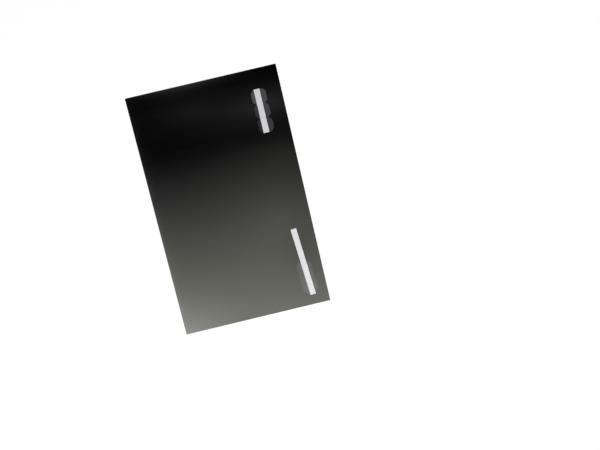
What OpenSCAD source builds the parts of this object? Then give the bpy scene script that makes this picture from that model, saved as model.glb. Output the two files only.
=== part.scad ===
// Privacy filter for a laptop or desktop screen, lying flat, with its two sets of clear attachment tabs.
// The sheet's long side runs along X. The tabs lie on its upper face, near the edge at +Y, release liner up.
// The origin is the centre of the sheet's lower face.

/* [Filter sheet] */
// Length of the sheet, along the screen's long side
sheet_length = 286.4; // [220:0.1:380]
// Height of the sheet, along the screen's short side
sheet_height = 179; // [140:0.1:240]
// Thickness of the bonded laminate
sheet_thickness = 0.53; // [0.3:0.01:1.2]
// Radius of the sheet's four corners
sheet_corner_radius = 0.8; // [0.2:0.1:6]

/* [Tab stack] */
// Width of every tab, measured across its liner
tab_width = 17.7; // [15:0.1:24]
// Thickness of the clear film that the tabs are cut from
film_thickness = 0.2; // [0.1:0.01:0.5]
// Thickness of the adhesive on the film
adhesive_thickness = 0.1; // [0.05:0.01:0.3]
// Width of the release liner
liner_width = 6.8; // [4:0.1:12]
// Thickness of the release liner
liner_thickness = 0.1; // [0.05:0.01:0.3]
// How far the liner reaches past each long side of the adhesive
liner_side_margin = 0.3; // [0.1:0.05:1]
// How far the middle of the tabs lies from the middle of the liner
tab_offset = 1; // [0:0.1:3]

/* [Short tab set] */
// Length of one short tab, along the liner
short_tab_length = 16.65; // [12:0.05:24]
// Radius of the short tabs' corners
short_tab_corner_radius = 5.5; // [1:0.1:7]
// Width of the cut between neighbouring short tabs
tab_cut_width = 0.1; // [0.05:0.05:0.5]
// How far the liner reaches past the row of tabs at each end
short_liner_end_margin = 0.4; // [0.1:0.1:2]
// From the sheet's left edge to the near end of the liner
short_set_side_inset = 23.4; // [8:0.1:60]
// From the sheet's upper edge to the middle of the liner
short_set_top_inset = 28.45; // [14:0.05:60]

/* [Long tab set] */
// Length of the long tab, along the liner
long_tab_length = 40; // [20:0.1:55]
// Radius of the long tab's corners
long_tab_corner_radius = 7; // [1:0.1:7.4]
// How far the liner reaches past the outer end of the long tab
long_liner_end_margin = 1.9; // [0.1:0.1:5]
// Length of the liner's pull tail, from the long tab's inner end to the liner's end
pull_tail_length = 40.9; // [20:0.1:70]
// Length over which the pull tail comes down from the tab to the sheet
tail_ramp_length = 6; // [2:0.1:15]
// Turn of the long set from the sheet's long side, in degrees
long_set_turn = 3.8; // [-8:0.1:8]
// From the sheet's right edge to the middle of the liner's outer end
long_set_side_inset = 12; // [6:0.1:50]
// From the sheet's upper edge to the middle of the liner's outer end
long_set_top_inset = 18.55; // [12:0.05:50]

/* [Hidden] */
$fn = 96;

// Heights of the stack: the film lies on the sheet, the adhesive on the film, the liner on the adhesive
film_z = sheet_thickness;
adhesive_z = film_z + film_thickness;
liner_z = adhesive_z + adhesive_thickness;

adhesive_width = liner_width - 2 * liner_side_margin;

short_tab_count = 3;
short_tab_pitch = short_tab_length + tab_cut_width;
short_row_length = short_tab_count * short_tab_pitch - tab_cut_width;
short_liner_length = short_row_length + 2 * short_liner_end_margin;

// Steps along the pull tail's soft bend
tail_ramp_steps = 12;

// The long set lies the other way round to the short set, so its liner starts at the sheet's right
half_turn = 180;

// A rectangle with round corners, from its left edge at x = 0 and centred on the X axis
module rounded_rectangle(length, width, radius) {
    translate([0, radius - width / 2]) square([length, width - 2 * radius]);
    translate([radius, -width / 2]) square([length - 2 * radius, width]);
    for (x = [radius, length - radius], y = [radius - width / 2, width / 2 - radius])
        translate([x, y]) circle(radius);
}

// Places a set by the middle of its liner's outer end. The liner runs from there along the set's own X.
module place_short_set() {
    translate([short_set_side_inset - sheet_length / 2, sheet_height / 2 - short_set_top_inset, 0])
        children();
}

module place_long_set() {
    translate([sheet_length / 2 - long_set_side_inset, sheet_height / 2 - long_set_top_inset, 0])
        rotate([0, 0, half_turn + long_set_turn])
            children();
}

// Outline of one tab, in its set's own axes, where start is the distance from the liner's outer end
module tab_outline(start, length, radius) {
    translate([start, tab_offset]) rounded_rectangle(length, tab_width, radius);
}

module tab_film(start, length, radius) {
    translate([0, 0, film_z])
        linear_extrude(film_thickness)
            tab_outline(start, length, radius);
}

// The adhesive is cut along with its tab, so the tab's corners trim the pad's ends
module adhesive_pad(start, length, radius) {
    translate([0, 0, adhesive_z])
        linear_extrude(adhesive_thickness)
            intersection() {
                tab_outline(start, length, radius);
                translate([start, -adhesive_width / 2]) square([length, adhesive_width]);
            }
}

function short_tab_start(index) = short_liner_end_margin + index * short_tab_pitch;

// Height of the pull tail's lower face, from 0 at the tab to 1 at the foot of the bend
function tail_height(fraction) = film_z + (liner_z - film_z) * (1 + cos(half_turn * fraction)) / 2;

module filter_sheet() {
    color([0.09, 0.09, 0.09])
        linear_extrude(sheet_thickness)
            translate([-sheet_length / 2, 0])
                rounded_rectangle(sheet_length, sheet_height, sheet_corner_radius);
}

module short_tab(index) {
    color([0.75, 0.77, 0.8, 0.4])
        place_short_set()
            tab_film(short_tab_start(index), short_tab_length, short_tab_corner_radius);
}

module short_tab_adhesive(index) {
    color([0.85, 0.85, 0.82, 0.6])
        place_short_set()
            adhesive_pad(short_tab_start(index), short_tab_length, short_tab_corner_radius);
}

module short_tab_liner() {
    color([0.88, 0.87, 0.92])
        place_short_set()
            translate([0, -liner_width / 2, liner_z])
                cube([short_liner_length, liner_width, liner_thickness]);
}

module long_tab() {
    color([0.75, 0.77, 0.8, 0.4])
        place_long_set()
            tab_film(long_liner_end_margin, long_tab_length, long_tab_corner_radius);
}

module long_tab_adhesive() {
    color([0.85, 0.85, 0.82, 0.6])
        place_long_set()
            adhesive_pad(long_liner_end_margin, long_tab_length, long_tab_corner_radius);
}

// The liner lies flat on the adhesive. Past the tab its pull tail bends down and lies on the sheet.
module long_tab_liner() {
    tail_start = long_liner_end_margin + long_tab_length;
    lower_face = concat(
        [[0, liner_z]],
        [for (step = [0:tail_ramp_steps])
            let (fraction = step / tail_ramp_steps)
                [tail_start + tail_ramp_length * fraction, tail_height(fraction)]],
        [[tail_start + pull_tail_length, film_z]]
    );
    last = len(lower_face) - 1;
    upper_face = [for (i = [last:-1:0]) lower_face[i] + [0, liner_thickness]];
    color([0.88, 0.87, 0.92])
        place_long_set()
            translate([0, liner_width / 2, 0])
                rotate([90, 0, 0])
                    linear_extrude(liner_width)
                        polygon(concat(lower_face, upper_face));
}

filter_sheet();
short_tab(0);  // short_tab_1
short_tab(1);  // short_tab_2
short_tab(2);  // short_tab_3
short_tab_adhesive(0);  // short_tab_adhesive_1
short_tab_adhesive(1);  // short_tab_adhesive_2
short_tab_adhesive(2);  // short_tab_adhesive_3
short_tab_liner();
long_tab();
long_tab_adhesive();
long_tab_liner();
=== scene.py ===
"""A privacy filter for a screen, lying flat with its attachment tabs still under their release liners."""
import math

import bmesh
import bpy
from mathutils import Euler, Matrix, Vector


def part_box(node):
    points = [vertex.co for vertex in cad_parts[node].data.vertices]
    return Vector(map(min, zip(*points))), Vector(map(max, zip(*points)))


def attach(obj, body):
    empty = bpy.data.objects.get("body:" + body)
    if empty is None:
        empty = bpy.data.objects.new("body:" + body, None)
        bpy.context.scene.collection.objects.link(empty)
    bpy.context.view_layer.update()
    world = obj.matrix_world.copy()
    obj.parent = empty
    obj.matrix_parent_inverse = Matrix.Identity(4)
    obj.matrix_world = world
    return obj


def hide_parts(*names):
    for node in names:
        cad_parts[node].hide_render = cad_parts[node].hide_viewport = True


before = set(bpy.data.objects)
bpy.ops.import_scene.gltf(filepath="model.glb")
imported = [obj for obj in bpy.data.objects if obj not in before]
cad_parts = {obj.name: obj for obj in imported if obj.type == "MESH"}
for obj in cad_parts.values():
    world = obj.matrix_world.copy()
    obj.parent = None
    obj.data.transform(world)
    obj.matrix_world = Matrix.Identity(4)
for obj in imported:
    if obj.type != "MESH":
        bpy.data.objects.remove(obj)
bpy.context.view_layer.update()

MM = 0.001

# The sheet, whose size is its CAD node's
SHEET_LOW, SHEET_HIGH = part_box("filter_sheet")
SHEET_CORNER_RADIUS = 0.8 * MM
SHEET_CHAMFER = 0.05 * MM
SHEET_RIM = 6 * MM
FACE_LAYER = 0.12 * MM

# The tabs' film lies a hair above the sheet, so that the two faces never coincide
SHORT_TABS = ("short_tab_1", "short_tab_2", "short_tab_3")
SHORT_TAB_CORNER_RADIUS = 5.5 * MM
LONG_TAB_CORNER_RADIUS = 7 * MM
LONG_TAB_LENGTH = 40 * MM
TAB_WIDTH = 17.7 * MM
FILM_GAP = 0.01 * MM
FILM_CHAMFER = 0.03 * MM
FILM_RIM = 0.9 * MM

# Steps round each corner, and how near two points lie to be made one
ARC_STEPS = 24
WELD_DISTANCE = 1e-6

# The long set's own axes start at the middle of its liner's outer end, with the liner along X
LONG_SET_TURN = math.radians(180 + 3.8)
LONG_SET_PLACE = Vector((SHEET_HIGH.x - 12 * MM, SHEET_HIGH.y - 18.55 * MM, 0))
LONG_TAB_START = 1.9 * MM
PULL_TAIL_LENGTH = 40.9 * MM
TAIL_RAMP_LENGTH = 6 * MM

# The release liners
SHORT_LINER_LOW, SHORT_LINER_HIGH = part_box("short_tab_liner")
LINER_WIDTH = 6.8 * MM
LINER_THICKNESS = 0.1 * MM
LINER_STEP = 0.5 * MM
LINER_STEPS_ACROSS = 12
LINER_EDGE_DROOP = 0.015 * MM
LINER_EDGE_BAND = 0.6 * MM
SCORE_DEPTH = 0.03 * MM
SCORE_HALF_WIDTH = 0.9 * MM
TAIL_WAVES = 2.5
TAIL_WAVE_HEIGHT = 0.06 * MM
TAIL_END_LIFT = 0.12 * MM

# Faces stand upright where their normal's height is below this, and lie flat where it is above
UPRIGHT = 0.5

# Refraction of polyester film and of acrylic adhesive
POLYESTER_IOR = 1.55
ACRYLIC_IOR = 1.47

# Sizes of the finishes' patterns, in features per metre
LOUVRE_BAND_SCALE = 330
BROAD_BAND_SCALE = 38
SHEET_HAZE_SCALE = 26
SHEET_GRAIN_SCALE = 900
DUST_SCALE = 95
FILM_MOTTLE_SCALE = 260
FILM_DRAW_SCALE = 900
ADHESIVE_MILK_SCALE = 700
ADHESIVE_BUBBLE_SCALE = 900
PAPER_FORMATION_SCALE = 420
PAPER_FIBRE_SCALE = 2600

# Scales of the patterns' own axes: a small one draws the pattern out along that axis
LOUVRE_BAND_AXES = (1, 0.015, 1)
BROAD_BAND_AXES = (1, 0.05, 1)
FILM_DRAW_AXES = (0.12, 1, 1)
PAPER_FIBRE_AXES = (0.2, 1, 1)

# Levels of a pattern or rim between which the colour goes from the first to the second
STREAK_STEP = (0.35, 0.7)
PAINTED_RIM_GLOW_STEP = (0.6, 1.0)
PAPER_CLOUD_STEP = (0.3, 0.75)

# How strongly the dust and the painted glow along the sheet's edge show in the sheet's colour
DUST_SHARE = 0.5
PAINTED_RIM_GLOW_SHARE = 0.12

# The finishes' least roughness, and the paper's shine
SHEET_ROUGHNESS = 0.055
FILM_ROUGHNESS = 0.24
ADHESIVE_ROUGHNESS = 0.22
PAPER_ROUGHNESS = 0.46
PAPER_SHINE = 0.35

# How much a film's painted rim highlight, its cut walls and the adhesive veil what lies under them
PAINTED_RIM_HIGHLIGHT = 0.008
CUT_WALL_VEIL = 0.3
ADHESIVE_VEIL = 0.35

# Dust specks, as shares of the distance between them, and the share of places that stay clean
DUST_CORE = 0.008
DUST_RIM = 0.022
CLEAN_SHARE = 0.8

# Depths of the finishes' relief
SHEET_RELIEF = 0.006 * MM
FILM_RELIEF = 0.004 * MM
BUBBLE_RELIEF = 0.02 * MM
PAPER_RELIEF = 0.008 * MM

# Colours, as linear light
SHEET_BLACK = (0.0011, 0.0011, 0.0012, 1)
SHEET_STREAK = (0.0025, 0.0025, 0.0024, 1)
# A painted glow, lighter than the black, along the sheet's outer rim
SHEET_PAINTED_RIM_GLOW = (0.012, 0.012, 0.012, 1)
FACE_LAYER_GREY = (0.055, 0.056, 0.054, 1)
LOUVRE_CORE = (0.004, 0.004, 0.004, 1)
DUST_GREY = (0.03, 0.03, 0.029, 1)
FILM_WHITE = (0.785, 0.77, 0.87, 1)
ADHESIVE_CREAM = (0.84, 0.84, 0.79, 1)
ADHESIVE_PALE = (0.80, 0.80, 0.77, 1)
PAPER_LAVENDER = (0.77, 0.763, 0.8, 1)
PAPER_CLOUDY = (0.716, 0.71, 0.745, 1)
PAPER_CUT = (0.84, 0.83, 0.86, 1)
FLOOR_WHITE = (0.97, 0.97, 0.97, 1)
WHITE = (1, 1, 1, 1)

# How much the film veils the sheet, on the side of the liner towards +Y and on the other
SHORT_TAB_HAZES = ((0.088, 0.101), (0.076, 0.041), (0.061, 0.0265))
LONG_TAB_HAZES = (0.06, 0.055)

# Light: the surroundings' own level, and one broad soft lamp
SURROUND_LEVEL = 0.29
LAMP_POWER = 11.0
LAMP_SIZE = 0.9
LAMP_PLACE = Vector((0.7, 0.15, 0.85))

# The overhead scrim, which only reflections see: dark over the sheet's left end and bright past its right
SCRIM_HEIGHT = 1.6
SCRIM_HALF_SIZE = 2.4
SCRIM_EDGE_START = 1.5
SCRIM_DARK = 0.005
SCRIM_RAMP = (-0.238, 0.524)
SCRIM_RISE = 1.13
SCRIM_LATE_RISE = 2.2
SCRIM_LATE_TILT = -0.268

# Its light is neutral over the sheet's left end and a little yellow towards its right
SCRIM_NEUTRAL = (1, 1, 1, 1)
SCRIM_YELLOW = (1.03, 1.058, 0.912, 1)
SCRIM_YELLOW_FROM = (-0.3, 0.0)
SCRIM_YELLOW_TILT = 0.35

# How fast the yellow fades into the corner's glow
SCRIM_WHITE_CORNER = 2.6

# Softer lights in the scrim: place, half length along X and Y, and strength, below 0 where it is shaded
CORNER_GLOW = ((0.645, -0.485), (0.465, 0.46), 7.2)
SCRIM_GLOWS = (
    CORNER_GLOW,
    ((0.13, 0.085), (0.82, 0.735), 0.7),
    ((0.3, -0.485), (1.4, 0.042), 5.2),
    ((-0.39, 0.13), (0.145, 0.5), 0.39),
    ((-0.425, -0.2), (0.17, 0.5), 0.17),
    ((-0.555, -0.205), (0.03, 0.47), 2.5),
    ((-0.16, 0.16), (0.1, 0.42), 0.1),
    ((-0.26, 0.03), (0.07, 0.45), -0.08),
    ((0.27, 0.12), (0.36, 0.22), -0.5),
)

# The floor lies a little under the sheet, and keeps a share of its shadow, which fades between two distances
FLOOR_HALF_SIZE = 6.0
FLOOR_DEPTH = 0.2 * MM
FLOOR_SHADOW_SHARE = 0.1
FLOOR_SHADOW_FADE = (0.3, 1.2)
FLOOR_GLOW = 1.035

# The camera, fitted to the photograph's view, with its turns in degrees
CAMERA_PLACE = (0.00555, 0.04777, 0.59661)
CAMERA_TURN = (-5.275, -1.96, 76.694)
CAMERA_LENS = 30.0
CAMERA_SENSOR = 36.0
CAMERA_SHIFT = (0.0206, 0.0306)


class Socket:
    """A socket of a node tree. Sums on sockets are written as Python expressions and add Math nodes."""

    def __init__(self, tree, output=None):
        self.tree = tree
        self.output = output

    def node(self, kind, settings=None, inputs=None, output=0):
        """Adds a node, its settings before its inputs, and returns one of its outputs."""
        made = self.tree.nodes.new(kind)
        for name, value in (settings or {}).items():
            setattr(made, name, value)
        for name, value in (inputs or {}).items():
            self.feed(made.inputs[name], value)
        return Socket(self.tree, made.outputs[output] if len(made.outputs) else None)

    def feed(self, target, value):
        """Sets a plain value, or links a socket, or several where the target takes several."""
        if isinstance(value, list):
            for one in value:
                self.feed(target, one)
        elif isinstance(value, Socket):
            self.tree.links.new(value.output, target)
        else:
            target.default_value = value

    def other(self, output):
        """Another output of the same node."""
        return Socket(self.tree, self.output.node.outputs[output])

    def math(self, operation, *values):
        return self.node("ShaderNodeMath", {"operation": operation}, dict(enumerate(values)))

    def vector_math(self, operation, *values, output="Vector"):
        inputs = dict(enumerate(values))
        return self.node("ShaderNodeVectorMath", {"operation": operation}, inputs, output)

    def __add__(self, value):
        return self.math("ADD", self, value)

    def __radd__(self, value):
        return self.math("ADD", value, self)

    def __sub__(self, value):
        return self.math("SUBTRACT", self, value)

    def __rsub__(self, value):
        return self.math("SUBTRACT", value, self)

    def __mul__(self, value):
        return self.math("MULTIPLY", self, value)

    def __rmul__(self, value):
        return self.math("MULTIPLY", value, self)

    def __truediv__(self, value):
        return self.math("DIVIDE", self, value)

    def __abs__(self):
        return self.math("ABSOLUTE", self)

    def above(self, value):
        return self.math("GREATER_THAN", self, value)

    def below(self, value):
        return self.math("LESS_THAN", self, value)

    def largest(self, value):
        return self.math("MAXIMUM", self, value)

    def step(self, start, end, kind="SMOOTHSTEP"):
        """0 up to start and 1 from end on, with a soft step between them, or an even one if LINEAR."""
        settings = {"interpolation_type": kind}
        inputs = {"Value": self, "From Min": start, "From Max": end}
        return self.node("ShaderNodeMapRange", settings, inputs)

    def mix(self, first, second):
        """The first colour where this is 0, and the second where it is 1."""
        return self.node("ShaderNodeMix", {"data_type": "RGBA"}, {0: self, 6: first, 7: second}, output=2)


# Patterns that several finishes share. Scales are in features per metre.

def object_place(shade):
    return shade.node("ShaderNodeTexCoord", output="Object")


def turned(place, turn=0.0, axes=(1, 1, 1)):
    """Object coordinates, turned about Z and then scaled along each axis."""
    settings = {"vector_type": "TEXTURE"}
    wide = tuple(1 / axis for axis in axes)
    inputs = {"Vector": place, "Rotation": (0, 0, turn), "Scale": wide}
    return place.node("ShaderNodeMapping", settings, inputs)


def cloud(place, scale, detail=2.0, roughness=0.5):
    inputs = {"Vector": place, "Scale": scale, "Detail": detail, "Roughness": roughness}
    return place.node("ShaderNodeTexNoise", {}, inputs)


def cells(place, scale, dimensions="3D"):
    settings = {"voronoi_dimensions": dimensions}
    return place.node("ShaderNodeTexVoronoi", settings, {"Vector": place, "Scale": scale})


def attribute(shade, name):
    return shade.node("ShaderNodeAttribute", {"attribute_name": name}, output="Fac")


def cut_wall(shade):
    """1 on a piece's cut walls, and 0 on its upper and lower faces."""
    return abs(attribute(shade, "facing")).below(UPRIGHT)


def bump(height, distance):
    return height.node("ShaderNodeBump", {}, {"Height": height, "Distance": distance, "Strength": 1.0})


def new_material(name):
    """An empty material, and a socket from which its nodes are written."""
    material = bpy.data.materials.new(name)
    material.use_nodes = True
    material.node_tree.nodes.clear()
    return material, Socket(material.node_tree)


def surface(shader):
    shader.node("ShaderNodeOutputMaterial", {}, {"Surface": shader})


# Finishes of the object

def louvre_laminate():
    """Glossy black laminate, with faint bands along its louvres, haze, dust and layered cut edges."""
    material, shade = new_material("louvre_laminate")
    place = object_place(shade)
    height = place.node("ShaderNodeSeparateXYZ", {}, {"Vector": place}, output="Z")
    wall, rim = cut_wall(shade), attribute(shade, "rim")
    bands = cloud(turned(place, axes=LOUVRE_BAND_AXES), LOUVRE_BAND_SCALE, detail=3.0, roughness=0.6)
    broad = cloud(turned(place, axes=BROAD_BAND_AXES), BROAD_BAND_SCALE)
    haze = cloud(place, SHEET_HAZE_SCALE, detail=3.0)
    grain = cloud(place, SHEET_GRAIN_SCALE, detail=1.0)
    speck = cells(place, DUST_SCALE, "2D")
    chance = speck.node("ShaderNodeSeparateColor", {}, {"Color": speck.other("Color")}, output="Red")
    dust = (1 - speck.step(DUST_CORE, DUST_RIM)) * chance.above(CLEAN_SHARE)

    film = (0.5 * bands + 0.5 * broad).step(*STREAK_STEP).mix(SHEET_BLACK, SHEET_STREAK)
    film = (DUST_SHARE * dust).mix(film, DUST_GREY)
    # Painted light: the sheet's outer rim is lightened as if light glowed out of its edge
    film = (PAINTED_RIM_GLOW_SHARE * rim.step(*PAINTED_RIM_GLOW_STEP)).mix(film, SHEET_PAINTED_RIM_GLOW)
    clear = height.below(FACE_LAYER).largest(height.above(SHEET_HIGH.z - FACE_LAYER))
    colour = wall.mix(film, clear.mix(LOUVRE_CORE, FACE_LAYER_GREY))
    roughness = SHEET_ROUGHNESS + 0.03 * haze + 0.015 * bands + 0.3 * dust + 0.35 * wall
    surface(shade.node("ShaderNodeBsdfPrincipled", {}, {
        "Base Color": colour,
        "Roughness": roughness,
        "IOR": POLYESTER_IOR,
        "Normal": bump(0.7 * bands + 0.3 * grain, SHEET_RELIEF),
    }))
    return material


def clear_film(name, upper_haze, lower_haze, middle):
    """Clear film with a faint haze, which may differ on its liner's two sides, brighter cut walls and a
    painted highlight along its rim.
    """
    material, shade = new_material(name)
    place = object_place(shade)
    side = place.node("ShaderNodeSeparateXYZ", {}, {"Vector": place}, output="Y") - middle
    facing, rim = attribute(shade, "facing"), attribute(shade, "rim")
    level = lower_haze + (upper_haze - lower_haze) * side.step(-LINER_WIDTH / 2, LINER_WIDTH / 2)
    mottle = cloud(place, FILM_MOTTLE_SCALE)
    drawn = cloud(turned(place, axes=FILM_DRAW_AXES), FILM_DRAW_SCALE)
    # A painted highlight: the film grows whiter and more opaque towards its rim
    haze = level * (0.87 + 0.2 * mottle + 0.06 * drawn) + PAINTED_RIM_HIGHLIGHT * rim * rim
    alpha = haze * facing.above(UPRIGHT) + CUT_WALL_VEIL * cut_wall(shade)
    surface(shade.node("ShaderNodeBsdfPrincipled", {}, {
        "Base Color": FILM_WHITE,
        "Roughness": FILM_ROUGHNESS + 0.12 * mottle,
        "IOR": POLYESTER_IOR,
        "Alpha": alpha,
        "Normal": bump(drawn, FILM_RELIEF),
    }))
    return material


def clear_adhesive():
    """Clear acrylic adhesive, a little milky, with the fine bubbles that it is coated with."""
    material, shade = new_material("clear_adhesive")
    place = object_place(shade)
    milk = cloud(place, ADHESIVE_MILK_SCALE)
    surface(shade.node("ShaderNodeBsdfPrincipled", {}, {
        "Base Color": milk.mix(ADHESIVE_CREAM, ADHESIVE_PALE),
        "Roughness": ADHESIVE_ROUGHNESS + 0.16 * milk,
        "IOR": ACRYLIC_IOR,
        "Alpha": ADHESIVE_VEIL + 0.3 * milk,
        "Normal": bump(cells(place, ADHESIVE_BUBBLE_SCALE), BUBBLE_RELIEF),
    }))
    return material


def liner_paper(name, turn):
    """Smooth lavender paper with cloudy formation and fine fibres along the strip."""
    material, shade = new_material(name)
    place = object_place(shade)
    wall = cut_wall(shade)
    formation = cloud(place, PAPER_FORMATION_SCALE, detail=3.0, roughness=0.6)
    fibre = cloud(turned(place, turn, PAPER_FIBRE_AXES), PAPER_FIBRE_SCALE, roughness=0.7)
    tone = (0.7 * formation + 0.3 * fibre).step(*PAPER_CLOUD_STEP)
    surface(shade.node("ShaderNodeBsdfPrincipled", {}, {
        "Base Color": wall.mix(tone.mix(PAPER_LAVENDER, PAPER_CLOUDY), PAPER_CUT),
        "Roughness": PAPER_ROUGHNESS + 0.14 * formation + 0.1 * wall,
        "Specular IOR Level": PAPER_SHINE,
        "Normal": bump(0.6 * fibre + 0.4 * formation, PAPER_RELIEF),
    }))
    return material


# Trees that make the object's pieces

def geometry_tree(name, sizes):
    """An empty tree with one named input for each size, and those inputs' sockets by name."""
    tree = bpy.data.node_groups.new(name, "GeometryNodeTree")
    tree.interface.new_socket("Geometry", in_out="OUTPUT", socket_type="NodeSocketGeometry")
    tree.interface.new_socket("Geometry", in_out="INPUT", socket_type="NodeSocketGeometry")
    for size, kind in sizes.items():
        tree.interface.new_socket(size, in_out="INPUT", socket_type=kind)
    entry = tree.nodes.new("NodeGroupInput")
    return tree, {size: Socket(tree, entry.outputs[size]) for size in sizes}


def close_tree(geometry, material):
    """Ends a tree in Realize Instances and Set Material."""
    real = geometry.node("GeometryNodeRealizeInstances", {}, {"Geometry": geometry})
    painted = real.node("GeometryNodeSetMaterial", {}, {"Geometry": real, "Material": material})
    painted.node("NodeGroupOutput", {}, {"Geometry": painted})


def vector(x, y, z):
    """A vector socket, of which at least one part is a socket."""
    start = next(part for part in (x, y, z) if isinstance(part, Socket))
    return start.node("ShaderNodeCombineXYZ", {}, {"X": x, "Y": y, "Z": z})


def raise_faces(mesh, faces, height, scale=None):
    """Extrudes faces straight up and shrinks them to a scale, and returns the mesh and its new top."""
    inputs = {"Mesh": mesh, "Offset": (0.0, 0.0, 1.0), "Offset Scale": height, "Individual": False}
    if faces:
        inputs["Selection"] = faces
    raised = mesh.node("GeometryNodeExtrudeMesh", {"mode": "FACES"}, inputs)
    top = raised.other("Top")
    if scale is None:
        return raised, top
    here = mesh.node("GeometryNodeInputPosition")
    there = here.vector_math("MULTIPLY", here, scale)
    inputs = {"Geometry": raised, "Selection": top, "Position": there}
    return raised.node("GeometryNodeSetPosition", {}, inputs), top


def store(geometry, name, value, domain):
    settings = {"data_type": "FLOAT", "domain": domain}
    inputs = {"Geometry": geometry, "Name": name, "Value": value}
    return geometry.node("GeometryNodeStoreNamedAttribute", settings, inputs)


def die_cut_tree():
    """Cuts a sheet to a rectangle with round corners and chamfered upper edges, closed all round.

    The attribute rim runs from 1 at the cut edge to 0 at the rim's inner line, and facing is 1 on top, 0 on
    the cut walls and -1 below.
    """
    tree, size = geometry_tree("die_cut_piece", {
        "Length": "NodeSocketFloat",
        "Width": "NodeSocketFloat",
        "Corner Radius": "NodeSocketFloat",
        "Arc Steps": "NodeSocketInt",
        "Thickness": "NodeSocketFloat",
        "Chamfer": "NodeSocketFloat",
        "Rim": "NodeSocketFloat",
        "Place": "NodeSocketVector",
        "Turn": "NodeSocketFloat",
        "Material": "NodeSocketMaterial",
    })
    length, width, chamfer, rim = (size[name] for name in ("Length", "Width", "Chamfer", "Rim"))
    outline = length.node("GeometryNodeCurvePrimitiveQuadrilateral", {}, {"Width": length, "Height": width})
    rounded = outline.node("GeometryNodeFilletCurve", {"mode": "POLY"}, {
        "Curve": outline, "Count": size["Arc Steps"], "Radius": size["Corner Radius"], "Limit Radius": True,
    })
    lower = rounded.node("GeometryNodeFillCurve", {"mode": "NGONS"}, {"Curve": rounded})
    body, top = raise_faces(lower, None, size["Thickness"] - chamfer)
    cut_length, cut_width = length - 2 * chamfer, width - 2 * chamfer
    body, top = raise_faces(body, top, chamfer, vector(cut_length / length, cut_width / width, 1.0))
    inner = vector((cut_length - 2 * rim) / cut_length, (cut_width - 2 * rim) / cut_width, 1.0)
    body, top = raise_faces(body, top, 0.0, inner)
    body = store(body, "rim", 1 - top, "POINT")
    under = lower.node("GeometryNodeFlipFaces", {}, {"Mesh": lower})
    under = store(under, "rim", 1.0, "POINT")
    whole = body.node("GeometryNodeJoinGeometry", {}, {"Geometry": [body, under]})
    whole = whole.node("GeometryNodeMergeByDistance", {}, {"Geometry": whole, "Distance": WELD_DISTANCE})
    normal = whole.node("GeometryNodeInputNormal")
    facing = normal.node("ShaderNodeSeparateXYZ", {}, {"Vector": normal}, output="Z")
    whole = store(whole, "facing", facing, "FACE")
    placed = whole.node("GeometryNodeTransform", {}, {
        "Geometry": whole, "Translation": size["Place"], "Rotation": vector(0.0, 0.0, size["Turn"]),
    })
    close_tree(placed, size["Material"])
    return tree


def grown(name, tree, sizes):
    """The plain mesh object that a tree makes from these sizes, without its modifier."""
    piece = bpy.data.objects.new(name, bpy.data.meshes.new(name + "_start"))
    bpy.context.scene.collection.objects.link(piece)
    modifier = piece.modifiers.new(tree.name, "NODES")
    modifier.node_group = tree
    for item in tree.interface.items_tree:
        if item.in_out == "INPUT" and item.name in sizes:
            modifier[item.identifier] = sizes[item.name]
    graph = bpy.context.evaluated_depsgraph_get()
    made = bpy.data.meshes.new_from_object(piece.evaluated_get(graph), depsgraph=graph)
    piece.modifiers.clear()
    piece.data = made
    made.name = name
    return piece


# Pieces of the object

def stand_for(piece, node):
    """The piece rides on the object's one body, in place of a CAD node, which is hidden."""
    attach(piece, "root")
    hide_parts(node)


def filter_sheet(tree):
    piece = grown("louvre_sheet", tree, {
        "Length": SHEET_HIGH.x - SHEET_LOW.x,
        "Width": SHEET_HIGH.y - SHEET_LOW.y,
        "Corner Radius": SHEET_CORNER_RADIUS,
        "Arc Steps": ARC_STEPS,
        "Thickness": SHEET_HIGH.z,
        "Chamfer": SHEET_CHAMFER,
        "Rim": SHEET_RIM,
        "Material": louvre_laminate(),
    })
    stand_for(piece, "filter_sheet")


def tab_film(tree, node, length, radius, place, turn, material):
    low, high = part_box(node)
    piece = grown(node + "_film", tree, {
        "Length": length,
        "Width": TAB_WIDTH,
        "Corner Radius": radius,
        "Arc Steps": ARC_STEPS,
        "Thickness": high.z - low.z - FILM_GAP,
        "Chamfer": FILM_CHAMFER,
        "Rim": FILM_RIM,
        "Place": (place.x, place.y, low.z + FILM_GAP),
        "Turn": turn,
        "Material": material,
    })
    stand_for(piece, node)


def short_tabs(tree):
    """Three films side by side, whose haze fades from the first to the last."""
    liner_middle = (SHORT_LINER_LOW.y + SHORT_LINER_HIGH.y) / 2
    for node, hazes in zip(SHORT_TABS, SHORT_TAB_HAZES):
        low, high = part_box(node)
        material = clear_film(node + "_film", *hazes, liner_middle)
        tab_film(tree, node, high.x - low.x, SHORT_TAB_CORNER_RADIUS, (low + high) / 2, 0.0, material)


def long_tab(tree):
    low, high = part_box("long_tab")
    place = (low + high) / 2
    material = clear_film("long_tab_film", *LONG_TAB_HAZES, place.y)
    tab_film(tree, "long_tab", LONG_TAB_LENGTH, LONG_TAB_CORNER_RADIUS, place, LONG_SET_TURN, material)


def soft_step(value):
    value = min(max(value, 0.0), 1.0)
    return value * value * (3 - 2 * value)


def score(along, places):
    """Depth of the shallow grooves that the die leaves in a liner where it cut between tabs."""
    return sum(SCORE_DEPTH * (1 - soft_step(abs(along - at) / SCORE_HALF_WIDTH)) for at in places)


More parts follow.
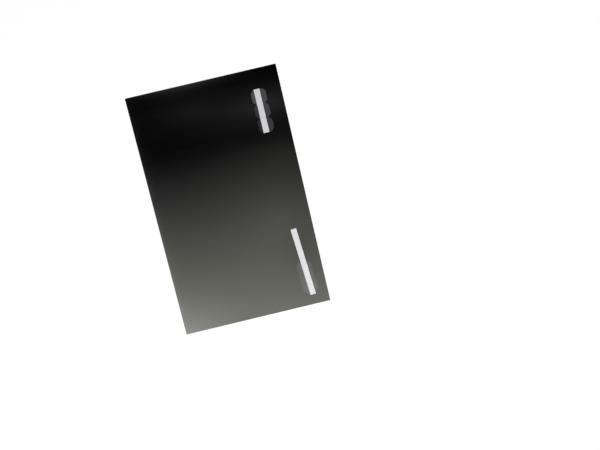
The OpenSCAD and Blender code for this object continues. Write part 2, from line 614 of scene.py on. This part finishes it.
def strip_mesh(length, lift, scores):
    """A closed paper strip along X, whose long sides droop a little.

    lift gives the height of its lower face along X, and scores are the places of the grooves across it.
    """
    steps = round(length / LINER_STEP)
    half = LINER_WIDTH / 2
    paper = bmesh.new()
    lower, upper = [], []
    for i in range(steps + 1):
        along = length * i / steps
        low = lift(along)
        high = low + LINER_THICKNESS - score(along, scores)
        for j in range(LINER_STEPS_ACROSS + 1):
            across = half * math.sin(math.pi * (j / LINER_STEPS_ACROSS - 0.5))
            droop = LINER_EDGE_DROOP * soft_step((abs(across) - half) / LINER_EDGE_BAND + 1)
            lower.append(paper.verts.new((along, across, low)))
            upper.append(paper.verts.new((along, across, high - droop)))
    row = LINER_STEPS_ACROSS + 1
    facing = paper.faces.layers.float.new("facing")
    for i in range(steps):
        for j in range(LINER_STEPS_ACROSS):
            corner = (i * row + j, (i + 1) * row + j, (i + 1) * row + j + 1, i * row + j + 1)
            paper.faces.new([upper[k] for k in corner])[facing] = 1.0
            paper.faces.new([lower[k] for k in reversed(corner)])[facing] = -1.0
    sides = [[i * row + j for i in range(steps + 1)] for j in (0, row - 1)]
    ends = [[i * row + j for j in range(row)] for i in (0, steps)]
    for line in sides + ends:
        for a, b in zip(line, line[1:]):
            paper.faces.new((lower[a], lower[b], upper[b], upper[a]))
    bmesh.ops.recalc_face_normals(paper, faces=paper.faces)
    return paper


def liner_strip(name, node, strip, move, material):
    """Makes a strip's mesh the object that stands for a liner, once it is moved to its place."""
    strip.transform(move)
    mesh = bpy.data.meshes.new(name)
    strip.to_mesh(mesh)
    strip.free()
    mesh.materials.append(material)
    piece = bpy.data.objects.new(name, mesh)
    bpy.context.scene.collection.objects.link(piece)
    stand_for(piece, node)


def short_liner():
    low, high = SHORT_LINER_LOW, SHORT_LINER_HIGH
    cuts = [(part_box(a)[1].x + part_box(b)[0].x) / 2 - low.x for a, b in zip(SHORT_TABS, SHORT_TABS[1:])]
    strip = strip_mesh(high.x - low.x, lambda along: low.z, cuts)
    move = Matrix.Translation((low.x, (low.y + high.y) / 2, 0))
    liner_strip("short_tab_paper", "short_tab_liner", strip, move, liner_paper("short_liner_paper", 0.0))


def long_liner_lift(along):
    """Flat over the tab, down a soft ramp, then on the sheet in slight waves with the free end lifted."""
    low = SHEET_HIGH.z
    high = SHORT_LINER_LOW.z
    past = along - LONG_TAB_START - LONG_TAB_LENGTH
    if past <= 0:
        return high
    if past < TAIL_RAMP_LENGTH:
        return low + (high - low) * (1 - soft_step(past / TAIL_RAMP_LENGTH)) + FILM_GAP
    free = (past - TAIL_RAMP_LENGTH) / (PULL_TAIL_LENGTH - TAIL_RAMP_LENGTH)
    wave = TAIL_WAVE_HEIGHT * (1 - math.cos(2 * math.pi * TAIL_WAVES * free)) / 2
    return low + FILM_GAP + wave + TAIL_END_LIFT * free ** 3


def long_liner():
    tab_end = LONG_TAB_START + LONG_TAB_LENGTH
    strip = strip_mesh(tab_end + PULL_TAIL_LENGTH, long_liner_lift, (LONG_TAB_START, tab_end))
    move = Matrix.Translation(LONG_SET_PLACE) @ Matrix.Rotation(LONG_SET_TURN, 4, "Z")
    paper = liner_paper("long_liner_paper", LONG_SET_TURN)
    liner_strip("long_tab_paper", "long_tab_liner", strip, move, paper)


def adhesive_pads():
    """The CAD's own pads, in the adhesive's finish."""
    material = clear_adhesive()
    for name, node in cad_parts.items():
        if "adhesive" in name:
            node.data.materials.clear()
            node.data.materials.append(material)


# The surroundings

def seen_directly(shade):
    """1 for the camera, for reflections and through clear pieces, and 0 for the light itself."""
    path = shade.node("ShaderNodeLightPath", output="Is Camera Ray")
    return path.largest(path.other("Is Glossy Ray")).largest(path.other("Is Transmission Ray"))


def plane(name, half_size, height, material):
    mesh = bpy.data.meshes.new(name)
    corners = [(-half_size, -half_size, height), (half_size, -half_size, height)]
    corners += [(half_size, half_size, height), (-half_size, half_size, height)]
    mesh.from_pydata(corners, [], [(0, 1, 2, 3)])
    mesh.materials.append(material)
    made = bpy.data.objects.new(name, mesh)
    bpy.context.scene.collection.objects.link(made)
    return made


def surroundings():
    world = bpy.data.worlds.new("surroundings")
    world.use_nodes = True
    world.node_tree.nodes.clear()
    shade = Socket(world.node_tree)
    strength = SURROUND_LEVEL + (1 - SURROUND_LEVEL) * seen_directly(shade)
    light = shade.node("ShaderNodeBackground", {}, {"Color": WHITE, "Strength": strength})
    light.node("ShaderNodeOutputWorld", {}, {"Surface": light})
    bpy.context.scene.world = world


def floor():
    """A pale floor that shows white, and keeps the object's shadow round it."""
    material, shade = new_material("pale_floor")
    place = object_place(shade)
    away = place.vector_math("LENGTH", place, output="Value")
    shadowed = FLOOR_SHADOW_SHARE * (1 - away.step(*FLOOR_SHADOW_FADE))
    matt = shade.node("ShaderNodeBsdfDiffuse", {}, {"Color": FLOOR_WHITE})
    white = shade.node("ShaderNodeEmission", {}, {"Color": WHITE, "Strength": FLOOR_GLOW})
    share = (1 - shadowed) * seen_directly(shade)
    surface(shade.node("ShaderNodeMixShader", {}, {0: share, 1: matt, 2: white}))
    plane("floor", FLOOR_HALF_SIZE, -FLOOR_DEPTH, material)


def distance(place, centre, half_sizes=(1, 1)):
    """How far a point of the scrim lies from a centre, in half sizes along X and Y."""
    away = place.vector_math("SUBTRACT", place, (*centre, SCRIM_HEIGHT))
    away = away.vector_math("DIVIDE", away, (*half_sizes, 1))
    return away.vector_math("LENGTH", away, output="Value")


def glow(place, centre, half_sizes):
    """1 at a glow's centre, falling to 0 at its rim."""
    near = (1 - distance(place, centre, half_sizes)).largest(0)
    return near * near * near


def overhead_scrim():
    """A lit cloth overhead that only reflections see, so that the sheet's gloss runs from dark to pale."""
    material, shade = new_material("scrim_light")
    place = object_place(shade)
    along = place.node("ShaderNodeSeparateXYZ", {}, {"Vector": place}, output="X")
    across = along.other("Y")
    ramp = along.step(*SCRIM_RAMP, "LINEAR")
    late = (along + SCRIM_LATE_TILT * across).step(*SCRIM_RAMP, "LINEAR")
    lit = SCRIM_DARK + SCRIM_RISE * ramp + SCRIM_LATE_RISE * late * late
    for centre, half_sizes, strength in SCRIM_GLOWS:
        lit = lit + strength * glow(place, centre, half_sizes)
    corner = glow(place, *CORNER_GLOW[:2])
    yellow = (along + SCRIM_YELLOW_TILT * across).step(*SCRIM_YELLOW_FROM)
    yellow = yellow * (1 - SCRIM_WHITE_CORNER * corner).largest(0)
    edge = distance(place, (0, 0)).step(SCRIM_EDGE_START, SCRIM_HALF_SIZE)
    surface(shade.node("ShaderNodeEmission", {}, {
        "Color": yellow.mix(SCRIM_NEUTRAL, SCRIM_YELLOW),
        "Strength": lit * (1 - edge) + edge,
    }))
    scrim = plane("overhead_scrim", SCRIM_HALF_SIZE, SCRIM_HEIGHT, material)
    scrim.visible_camera = False
    scrim.visible_diffuse = False
    scrim.visible_transmission = False
    scrim.visible_shadow = False
    scrim.visible_volume_scatter = False


def soft_lamp():
    lamp = bpy.data.lights.new("soft_lamp", "AREA")
    lamp.shape = "SQUARE"
    lamp.size = LAMP_SIZE
    lamp.energy = LAMP_POWER
    made = bpy.data.objects.new("soft_lamp", lamp)
    made.location = LAMP_PLACE
    made.rotation_euler = (-LAMP_PLACE).to_track_quat("-Z", "Y").to_euler()
    made.visible_glossy = False
    bpy.context.scene.collection.objects.link(made)


def camera():
    lens = bpy.data.cameras.new("camera")
    lens.lens = CAMERA_LENS
    lens.sensor_width = CAMERA_SENSOR
    lens.shift_x, lens.shift_y = CAMERA_SHIFT
    lens.clip_start = 0.01
    made = bpy.data.objects.new("camera", lens)
    made.location = CAMERA_PLACE
    made.rotation_euler = Euler([math.radians(turn) for turn in CAMERA_TURN])
    bpy.context.scene.collection.objects.link(made)
    bpy.context.scene.camera = made


camera()
surroundings()
floor()
overhead_scrim()
soft_lamp()
cutter = die_cut_tree()
filter_sheet(cutter)
short_tabs(cutter)
long_tab(cutter)
short_liner()
long_liner()
adhesive_pads()
bpy.context.scene.view_settings.view_transform = "Standard"
